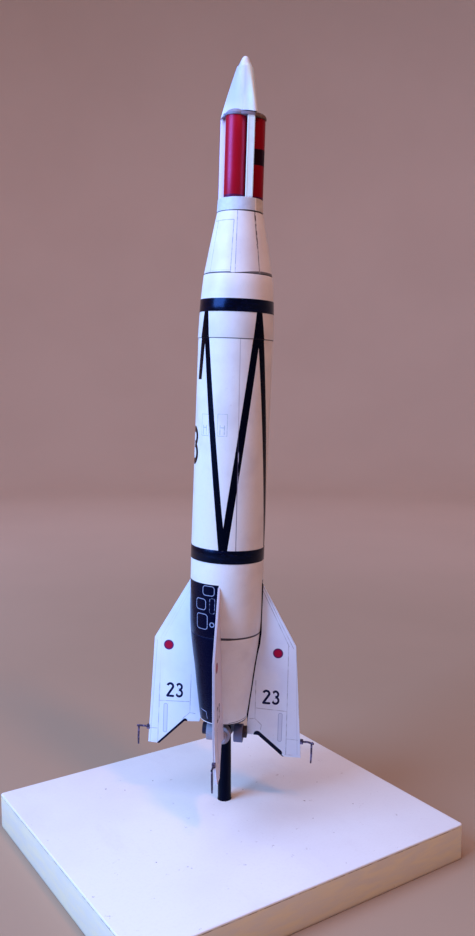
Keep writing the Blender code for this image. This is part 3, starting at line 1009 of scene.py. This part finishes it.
def board_material():
    """White faced board: a hard satin top, painted edges, a joint line, dust, small nicks and painted
    shade along the foot of its sides.
    """
    f = Finish("White faced board", Matrix())
    f.colour = f.mix(f.patch((0.018, 3), 0.35, 0.7), (0.79, 0.8, 0.8), (0.74, 0.74, 0.74))
    f.coat(f.patch((0.8, 5, None, 0.65), 0.45, 0.75, 0, 0.22), (0.66, 0.63, 0.64))
    f.coat(f.patch((0.05, 5, (1, 2.4, 1), 0.65), 0.56, 0.78, 0, 0.3), (0.62, 0.6, 0.64))
    f.coat(f.patch((0.42, 1), 0.815, 0.835), (0.16, 0.13, 0.12))

    on_side = f.below(f.z, BOARD_T - 0.55, 0.1)
    f.coat(f.times(on_side, f.patch((0.22, 4, (3, 3, 0.7)), 0.35, 0.7, 0.55, 1)), (0.96, 0.88, 0.63))
    joint = f.near(f.z, BOARD_T - 0.95, 0.16, 0.08)
    f.coat(f.times(joint, f.patch((0.25, 4), 0.4, 0.58, 0.2, 0.9)), (0.3, 0.25, 0.23))
    edge = f.near(f.z, BOARD_T - 0.35, 0.35, 0.1)
    f.coat(f.times(edge, f.patch((0.2, 6, None, 0.7), 0.655, 0.7)), (0.22, 0.17, 0.14))
    # Painted shade along the foot of the sides, where the board meets the floor
    f.coat(f.ramp(f.z, 0.1, 1.3, 0.45, 0), (0.36, 0.29, 0.24))
    fibre = f.noise(0.5, 6, (2.5, 1, 1), 0.7)
    f.coat(f.ramp(f.z, 0.02, 0.08, 1, 0), f.mix(fibre, (0.42, 0.33, 0.24), (0.6, 0.5, 0.38)))
    peel = f.noise(0.55, 3)
    return f.ended(f.ramp(peel, 0.3, 0.7, 0.38, 0.5), peel, 0.22, 0.06)


def rod_material():
    """Black satin paint on a dowel, with the grain showing and a few worn specks."""
    f = Finish("Black painted dowel", FOOT)
    grain = f.noise(1.1, 4, (1, 1, 14))
    f.colour = f.mix(f.ramp(grain, 0.4, 0.66), (0.0008, 0.0006, 0.003), (0.003, 0.0025, 0.009))
    f.coat(f.patch((0.9, 4, (1, 1, 3)), 0.72, 0.78, 0, 0.5), (0.08, 0.06, 0.06))
    f.shine(0.11, INK_SHEEN)
    return f.ended(f.ramp(grain, 0.3, 0.7, 0.28, 0.42), grain, 0.5, 0.05)


# Pieces

def make_board():
    board = cube("white_board", (0, 0, 0.5 * BOARD_T), (BOARD_X, BOARD_Y, BOARD_T))
    edit(board)
    for width, segments, test in (
        (1.5, 6, lambda a, b: abs(a.z - b.z) > 1),
        (0.55, 3, lambda a, b: min(a.z, b.z) > BOARD_T - 0.1),
        (0.3, 2, lambda a, b: max(a.z, b.z) < 0.1),
    ):
        pick_edges(board, test)
        bpy.ops.mesh.bevel(offset=width * MM, segments=segments, affect="EDGES")
    level_cut(BOARD_T - 0.85)
    level_cut(BOARD_T - 1.05)
    pick_faces(board, lambda c, n: abs(c.z - BOARD_T + 0.95) < 0.05)
    swell(-0.12)
    outward()

    drill = cylinder("drill", 64, ROD_R + 0.2, ROD_HOLE_DEPTH + 2)
    drill.matrix_world = ROD_PLACE @ shift(0, 0, 1 - 0.5 * ROD_HOLE_DEPTH)
    cut_away(board, drill)
    hand_over(board, board_material(), ["base_board"], Matrix(), 40)


def make_rod():
    bottom = 0.25 - ROD_HOLE_DEPTH
    rod = turned("black_rod", (
        (ROD_R - 0.4, bottom), (ROD_R, bottom + 0.4), (ROD_R, -0.3), (ROD_R + 0.14, 0.05),
        (ROD_R + 0.05, 0.35), (ROD_R, 0.9), (ROD_R - 0.03, 9), (ROD_R + 0.02, 18), (ROD_R, 30),
        (ROD_R, ROD_TOP - 0.4), (ROD_R - 0.4, ROD_TOP),
    ), 64)
    hand_over(rod, rod_material(), ["display_rod"], ROD_PLACE)


def make_tail():
    material = tail_material()
    tail = turned("boat_tail", (
        (3.8, 45), (3.8, 41.6), (9.7, 41.6), (9.75, TAIL_Z), (TAIL_R, TAIL_Z), (11.63, 47),
        (12.72, 55.5), (13.7, 64), (14.58, 70), (15.25, 75), (15.68, 79), (15.8, CONE_TOP_Z - 0.05),
        (15.2, CONE_TOP_Z - 0.05),
    ))
    rounded(tail, 0.12)
    hand_over(tail, material, ["tail_cone"], TAIL_PLACE)

    sleeve = turned("tail_sleeve", (
        (15.2, CONE_TOP_Z + 0.15), (15.85, CONE_TOP_Z + 0.15), (16.2, 86), (BODY_R - 0.05, 92),
        (BODY_R, 104), (BODY_R, BAND_LOW[1] - 0.1), (15.2, BAND_LOW[1] - 0.1),
    ))
    rounded(sleeve, 0.08)
    hand_over(sleeve, material, ["tail_tube"], TAIL_PLACE)


def make_body():
    material = body_material()
    tube = turned("body_tube", (
        (15.6, BAND_LOW[1] + 0.1), (BODY_R, BAND_LOW[1] + 0.1), (BODY_R, 164),
        (BODY_R, JOINT_Z - 0.05), (15.6, JOINT_Z - 0.05),
    ))
    groove(tube, SEAM_TURN, 0.2, 0.1, BAND_LOW[1] + 0.05, JOINT_Z, SEAM_LEAN)
    hand_over(tube, material, ["main_tube"], BODY_PLACE)

    ring = turned("shoulder", (
        (15.8, JOINT_Z + 0.15), (BODY_R + 0.22, JOINT_Z + 0.15), (16.3, 220), (15.95, 228),
        (15.48, 233.4), (RING_TOP_R, RING_TOP_Z), (RING_TOP_R - 0.5, RING_TOP_Z),
    ))
    rounded(ring, 0.1)
    hand_over(ring, material, ["shoulder_ring"], BODY_PLACE)


def make_bands():
    """Strips wrapped round the body, their ends overlapping at the back."""
    material = band_material()
    rows = (("lower_band", BAND_LOW, (BODY_R, BODY_R)), ("upper_band", BAND_HIGH, BAND_HIGH_R))
    for name, (low, high), (low_r, high_r) in rows:
        band = turned(name, (
            (low_r - 0.4, low), (low_r + 0.13, low), (high_r + 0.13, high), (high_r - 0.4, high),
        ))
        edit(band)
        pick_faces(band, lambda c, n: (
            116 < math.degrees(math.atan2(c.y, c.x)) < 139 and abs(n.z) < 0.5
            and math.hypot(c.x, c.y) > low_r - 0.5
        ))
        swell(0.11)
        outward()
        rounded(band, 0.04)
        hand_over(band, material, [], BODY_PLACE)


def make_taper():
    material = taper_material()
    taper = turned("taper_cone", (
        (14, RING_TOP_Z + 0.3), (RING_TOP_R - 0.12, RING_TOP_Z + 0.3), (12.45, 252),
        (TAPER_TOP_R + 0.02, TAPER_TOP_Z - 0.03), (TAPER_TOP_R - 0.5, TAPER_TOP_Z - 0.03),
    ))
    groove(taper, 38.8, 0.26, 0.12, RING_TOP_Z, TAPER_TOP_Z)
    hand_over(taper, material, ["transition_cone"])

    collar = turned("top_collar", (
        (9.3, TAPER_TOP_Z + 0.25), (10.05, TAPER_TOP_Z + 0.25), (9.9, 268),
        (COLLAR_TOP_R, COLLAR_TOP_Z - 0.1), (COLLAR_TOP_R - 0.12, COLLAR_TOP_Z),
        (COLLAR_TOP_R - 0.5, COLLAR_TOP_Z), (COLLAR_TOP_R - 0.6, COLLAR_TOP_Z - 0.35),
        (2, COLLAR_TOP_Z - 0.3), (0.8, COLLAR_TOP_Z - 0.3),
    ))
    groove(collar, 44, 0.2, 0.1, TAPER_TOP_Z, COLLAR_TOP_Z - 0.2)
    hand_over(collar, material, ["collar"])


def make_tubes():
    """Three rolled tubes; the one on the right carries a black band and is painted darker as painted
    shade.
    """
    low = COLLAR_TOP_Z - 0.3
    high = TUBE_TOP_Z + 0.1
    tube = turned("crimson_tube_1", (
        (TUBE_R - 0.6, low), (TUBE_R, low), (TUBE_R, 282), (TUBE_R + 0.02, 294), (TUBE_R, high),
        (TUBE_R - 0.6, high),
    ), 72)
    groove(tube, 180, 0.18, 0.1, low, TUBE_TOP_Z)
    rounded(tube, 0.06, 60)
    seat(tube, spun(TUBE_TURN) @ shift(TUBE_RING, 0, 0))
    plain = tube_material(False)
    hand_row(copies(tube, 3, 120), (plain, tube_material(True), plain), "motor_tube")


def make_bars():
    """Folded strips in the grooves between the tubes, with a flat face outwards."""
    foot = COLLAR_TOP_Z - 0.25
    height = TUBE_TOP_Z + 0.1 - foot
    middle = 0.5 * (BAR_IN + BAR_OUT)
    bar = cube("groove_bar_1", (middle, 0, foot + 0.5 * height), (BAR_OUT - BAR_IN, BAR_W, height))
    edit(bar)
    pick_edges(bar, lambda a, b: abs(a.z - b.z) > 5 and min(a.x, b.x) > BAR_OUT - 0.1)
    bpy.ops.mesh.bevel(offset=0.22 * MM, segments=3, affect="EDGES")
    pick_faces(bar, lambda c, n: n.x > 0.9)
    bpy.ops.mesh.inset(thickness=0.28 * MM, depth=0)
    bpy.ops.mesh.inset(thickness=0.06 * MM, depth=-0.05 * MM)
    pick_points(bar, lambda c: c.x < BAR_IN + 0.1)
    bpy.ops.transform.resize(value=(1, 0.62, 1), center_override=(BAR_IN * MM, 0, 0))
    outward()
    seat(bar, spun(BAR_TURN) @ shift(middle, 0, 0) @ spun(BAR_TWIST) @ shift(-middle, 0, 0))
    hand_row(copies(bar, 3, 120), [bar_material()] * 3, "frame_bar")


def make_caps():
    """Low domes on the tubes, and a plate between them that closes the gaps above the bars."""
    rim = TUBE_TOP_Z + 0.15
    dome = rim + 0.8
    steps = 10
    profile = [(CAP_R - 0.5, rim), (CAP_R, rim), (CAP_R, rim + 0.55), (CAP_R - 0.12, rim + 0.68)]
    for step in range(steps):
        angle = 0.5 * math.pi * step / steps
        up = (CAP_TOP_Z - dome) * math.sin(angle) ** 1.25
        profile.append(((CAP_R - 0.05) * math.cos(angle), dome + up))
    cap = turned("dome_cap_1", profile, 72)
    rounded(cap, 0.05, 50)
    seat(cap, spun(TUBE_TURN) @ shift(CAP_RING, 0, 0))
    material = cap_material()
    hand_row(copies(cap, 3, 120), [material] * 3, "tube_cap")

    profile = ((0.8, rim), (8.75, rim), (8.95, rim + 0.25), (8.75, rim + 1.5), (0.8, rim + 1.6))
    plate = turned("cap_plate", profile, 96)
    for turn in (0, 120, 240):
        room = cylinder("cap_room", 72, CAP_R + 0.08, 8)
        room.matrix_world = spun(TUBE_TURN + turn) @ shift(CAP_RING, 0, rim)
        cut_away(plate, room)
    hand_over(plate, material, [])


def nose_ring(up):
    """Height, mean radius and share of roundness lost of a ring, some share of the way up the nose."""
    down = 1 - up
    radius = TIP_R + 5.4 * down - 1.3 * down * down
    return TIP_Z - (TIP_Z - NOSE_LOW_Z) * down, radius, 1.25 * down - 0.25 * down * down


def make_nose():
    """A rounded triangle drawn up to a small circle, with an arch cut over each tube."""
    levels = 14
    rings = [nose_ring(step / levels) for step in range(levels + 1)]
    start()
    bpy.ops.mesh.primitive_circle_add(
        vertices=3, radius=11.4 * MM, fill_type="NGON",
        location=(0, 0, NOSE_LOW_Z * MM), rotation=(0, 0, math.radians(NOSE_TURN - 90)),
    )
    nose = added("nose_shell")
    edit(nose)
    everything()
    bpy.ops.mesh.bevel(offset=3.2 * MM, segments=18, affect="VERTICES")
    pick_edges(nose, lambda a, b: (a - b).length > 5)
    bpy.ops.mesh.subdivide(number_cuts=17)
    everything()
    for (z0, r0, w0), (z1, r1, w1) in zip(rings, rings[1:]):
        pull(0, 0, z1 - z0)
        centre = (0, 0, z1 * MM)
        bpy.ops.transform.resize(value=(r1 / r0, r1 / r0, 1), center_override=centre)
        bpy.ops.transform.tosphere(value=1 - w1 / w0, center_override=centre)
    outward()
    for turn, aside, half, height in ((-20, 1.2, 9.6, 4.5), (100, -1, 10.6, 5.2), (220, -1, 9.2, 4.8)):
        start()
        bpy.ops.mesh.primitive_cylinder_add(vertices=96, radius=1, depth=1)
        arch = added("arch")
        arch.matrix_world = (
            spun(turn) @ shift(7, aside, 302.5)
            @ Matrix.Diagonal((14 * MM, half * MM, height * MM, 1))
            @ Matrix.Rotation(math.radians(90), 4, "Y")
        )
        cut_away(nose, arch)
    material = nose_material()
    hand_over(nose, material, ["nose_cone"], NOSE_PLACE)

    tip = turned("nose_point", (
        (TIP_R - 0.5, TIP_Z + 0.05), (TIP_R - 0.04, TIP_Z + 0.05), (TIP_R - 0.34, 326.8), (2.38, 327.6),
        (2.02, 328.5), (1.66, 329.3), (1.28, 329.95), (0.86, 330.36), (0.45, 330.55), (0.15, 330.6),
    ), 72)
    hand_over(tip, material, ["nose_tip"], NOSE_PLACE, 50)


def at_fins(pieces):
    """Turns each piece to its fin, with the fins' slight cant."""
    for index, piece in enumerate(pieces):
        seat(piece, spun(FIN_TURN + 90 * index) @ tipped(CANT_DEG, CANT_Z, Matrix()))


def recut(fin, moves):
    """Moves the outline's first corners, as the card was cut by hand."""
    edit(fin)
    for (r, z), (dr, dz) in zip(FIN_OUTLINE, moves):
        pick_points(fin, lambda c: math.hypot(c.x - r, c.z - z) < 0.9)
        bpy.ops.transform.translate(value=(dr * MM, 0, dz * MM))
    outward()


def curled(fin):
    """Curls the fin's foot a little to one side, as thin card does."""
    for level in CURL_LEVELS:
        edit(fin)
        level_cut(level)
        pick_points(fin, lambda c: c.z < level - 0.01)
        bpy.ops.transform.rotate(
            value=math.radians(-CURL_DEG), orient_axis="X", center_override=(0, 0, level * MM)
        )
        bpy.ops.object.mode_set(mode="OBJECT")


def make_fins():
    """Two layers of card with a fine groove between them, round the outline of the fin."""
    first = FIN_OUTLINE[0]
    start()
    bpy.ops.mesh.primitive_plane_add(
        size=MM, location=(first[0] * MM, -0.5 * FIN_T * MM, first[1] * MM)
    )
    fin = added("card_fin_1")
    edit(fin)
    bpy.ops.mesh.select_mode(type="VERT")
    everything()
    bpy.ops.mesh.merge(type="CENTER")
    for (r0, z0), (r1, z1) in zip(FIN_OUTLINE, FIN_OUTLINE[1:]):
        pull(r1 - r0, 0, z1 - z0)
    everything()
    bpy.ops.mesh.edge_face_add()
    for layer in (0.44, 0.12, 0.44):
        pull(0, layer * FIN_T, 0)
    everything()
    bpy.ops.mesh.normals_make_consistent(inside=False)
    pick_faces(fin, lambda c, n: abs(c.y) < 0.03 and abs(n.y) < 0.1 and not (n.x > 0.5 and n.z > 0.3))
    swell(-0.1)
    outward()
    rounded(fin, 0.09, 50)
    fins = copies(fin, 4, 0)
    curled(fins[0])
    recut(fins[1], RIGHT_FIN_CUT)
    recut(fins[3], LEFT_FIN_CUT)
    at_fins(fins)
    hand_row(fins, [fin_material()] * 4, "fin")


def make_wires():
    """A folded clip on each fin's outer edge, and a wire that stands out and turns down."""
    (r0, z0), (r1, z1) = FIN_OUTLINE[1], FIN_OUTLINE[2]
    foot = r0 + (r1 - r0) * (WIRE_Z - z0) / (z1 - z0) - 0.1
    clip = cube("fin_clip_1", (foot + 0.6, 0, WIRE_Z), (1.2, 1.5, 2.1))
    edit(clip)
    pick_faces(clip, lambda c, n: n.x > 0.9)
    bpy.ops.mesh.inset(thickness=0.3 * MM, depth=0.2 * MM)
    pick_faces(clip, lambda c, n: abs(n.z) > 0.9)
    bpy.ops.mesh.inset(thickness=0.25 * MM, depth=-0.12 * MM)
    outward()
    rounded(clip, 0.12)

    start()
    bpy.ops.mesh.primitive_circle_add(
        vertices=16, radius=WIRE_R * MM, location=((foot + 0.9) * MM, 0, WIRE_Z * MM),
        rotation=(0, math.radians(90), 0),
    )
    wire = added("fin_wire_1")
    edit(wire)
    bpy.ops.mesh.select_mode(type="EDGE")
    everything()
    run = WIRE_OUT - WIRE_BEND - foot
    drop = 0.5 * (WIRE_END_Z - WIRE_Z + WIRE_BEND)
    pull(0.4 * run, 0, 0.06)
    pull(run - 0.9 - 0.4 * run, 0, -0.06)
    bpy.ops.mesh.spin(
        steps=8, angle=math.radians(90), axis=(0, 1, 0),
        center=((WIRE_OUT - WIRE_BEND) * MM, 0, (WIRE_Z - WIRE_BEND) * MM),
    )
    pull(0.05, 0, drop)
    pull(-0.12, 0, drop + 0.12)
    bpy.ops.transform.resize(value=(0.8, 0.8, 1))
    everything()
    bpy.ops.mesh.fill_holes(sides=0)
    outward()
    rounded(wire, 0.08, 60)

    # Each pair sits a little differently on its fin
    clips = copies(clip, 4, 0)
    wires = copies(wire, 4, 0)
    for row in (clips, wires):
        nudged(row[0], 0, 0.3, 0.9)
        nudged(row[1], 0.5, 0, -1.2)
        nudged(row[3], -0.3, 0, 0.7)
    nudged(wires[1], 0.2, 0, -0.6, lambda c: c.x > WIRE_OUT - 0.8)
    nudged(wires[3], 0, 0, 1.2, lambda c: c.z < WIRE_END_Z + 3)
    at_fins(clips)
    at_fins(wires)
    metal = metal_material()
    hand_row(clips, [metal] * 4, "wire_bracket")
    hand_row(wires, [metal] * 4, "tip_wire")


def make_vanes():
    """Rolled card blocks under the tail, each with a smaller boss towards its fin."""
    disc = turned("round_vane_1", (
        (0.7, VANE_IN + 0.3), (0.9, VANE_IN + 0.1), (3.3, VANE_IN + 0.1), (3.45, VANE_IN), (4.05, VANE_IN),
        (VANE_R, VANE_IN + 0.15), (VANE_R, VANE_OUT - 0.15), (4.05, VANE_OUT), (2.9, VANE_OUT),
        (2.8, VANE_OUT - 0.1), (0.7, VANE_OUT - 0.1),
    ), 64)
    boss = turned("vane_boss_1", (
        (0.5, VANE_OUT + 0.05), (HUB_R - 0.12, VANE_OUT + 0.05), (HUB_R, VANE_OUT + 0.2),
        (HUB_R, HUB_OUT - 0.15), (HUB_R - 0.15, HUB_OUT), (1.5, HUB_OUT), (1.4, HUB_OUT - 0.12),
        (0.5, HUB_OUT - 0.12),
    ), 48)
    vane = vane_material()
    rows = (
        (disc, "vane_disc", vane, "vane_grey", 0),
        (boss, "vane_hub", hub_material(), "hub_brown", 1),
    )
    for piece, node, material, slot, raised in rows:
        seat(piece, spun(FIN_TURN) @ shift(0, 0, VANE_Z) @ Matrix.Rotation(math.radians(90), 4, "Y"))
        row = copies(piece, 4, 90)
        nudged(row[0], 0, 0, 1.6)
        nudged(row[1], 0.05, 0.4 - 0.3 * raised, 0.8 * raised)
        nudged(row[3], 0.13, 1, raised)
        hand_row(row, [vane] + [material] * 3, node)


# Studio

def from_view(x, y, z):
    """A place in mm from the rod's foot, x to the camera's right and y away from it."""
    return FOOT @ spun(VIEW_TURN) @ (Vector((x, y, z)) * MM)


def make_camera():
    start()
    bpy.ops.object.camera_add(
        location=from_view(6.4, -382.9, 195.1),
        rotation=(math.radians(90 - VIEW_DIP), 0, math.radians(VIEW_TURN)),
    )
    camera = bpy.context.object
    camera.name = "photo_camera"
    # The sensor's width is the picture's long side, which is its height
    camera.data.sensor_fit = "AUTO"
    camera.data.sensor_width = 36
    camera.data.lens = LENS * PHOTO_SIZE[0] / PHOTO_SIZE[1]
    camera.data.clip_start = 0.01
    camera.data.clip_end = 20
    bpy.context.scene.camera = camera


def area_light(name, place, size, power, colour):
    """A soft light that is aimed at the middle of the rocket."""
    start()
    bpy.ops.object.light_add(type="AREA", location=from_view(*place))
    light = bpy.context.object
    light.name = name
    light.data.shape = "RECTANGLE"
    light.data.size, light.data.size_y = size
    light.data.energy = power
    light.data.color = colour
    towards = from_view(0, 0, 150) - light.location
    light.rotation_euler = towards.to_track_quat("-Z", "Y").to_euler()
    light.visible_camera = False


def make_studio():
    """A pale floor that curves up into a wall all round, painted darker under the model and lighter
    towards the wall to even out the light, and soft light.
    """
    profile = [(FLOOR_FLAT, -0.1)]
    for step in range(1, 17):
        angle = math.radians(5.5 * step)
        out = FLOOR_CURVE * math.sin(angle)
        profile.append((FLOOR_FLAT + out, FLOOR_CURVE * (1 - math.cos(angle))))
    profile.append(WALL_TOP)
    floor = turned("pale_floor", profile, 96)
    edit(floor)
    pick_faces(floor, lambda c, n: c.z > WALL_TOP[1] - 1)
    bpy.ops.mesh.delete(type="FACE")
    everything()
    bpy.ops.mesh.flip_normals()
    hold(floor)
    bpy.ops.object.shade_smooth_by_angle(angle=math.radians(40))
    f = Finish("Pale studio floor", Matrix())
    tone = f.patch((0.004, 3), 0.3, 0.7)
    # Painted light and shade: darker under the model, lighter out on the wall, evening out the lamps'
    # fall-off
    wall = f.mix(tone, (0.8, 0.56, 0.42), (0.83, 0.585, 0.44))
    under = f.mix(tone, (0.345, 0.24, 0.16), (0.365, 0.252, 0.17))
    f.give("Base Color", f.mix(f.ramp(f.reach(), 180, 1100), under, wall))
    f.give("Roughness", 0.8)
    floor.data.materials.append(f.material)

    area_light("window_light", (-762, -476, 588), (0.62, 0.7), 17.6, (0.245, 0.495, 1))
    area_light("ceiling_lamp", (350, -388, 1003), (0.1, 0.1), 2.6, (1, 0.36, 0.06))
    area_light("soft_box", (-243, -89, 1116), (0.8, 0.8), 8.8, (0.69, 0.675, 1))
    world = bpy.data.worlds.new("Studio")
    bpy.context.scene.world = world
    world.use_nodes = True
    background = world.node_tree.nodes["Background"]
    background.inputs["Color"].default_value = (0.92, 0.8, 0.88, 1)
    background.inputs["Strength"].default_value = 0.16
    bpy.context.scene.view_settings.view_transform = "Standard"


make_board()
make_rod()
make_tail()
make_body()
make_bands()
make_taper()
make_tubes()
make_bars()
make_caps()
make_nose()
make_fins()
make_wires()
make_vanes()
make_camera()
make_studio()
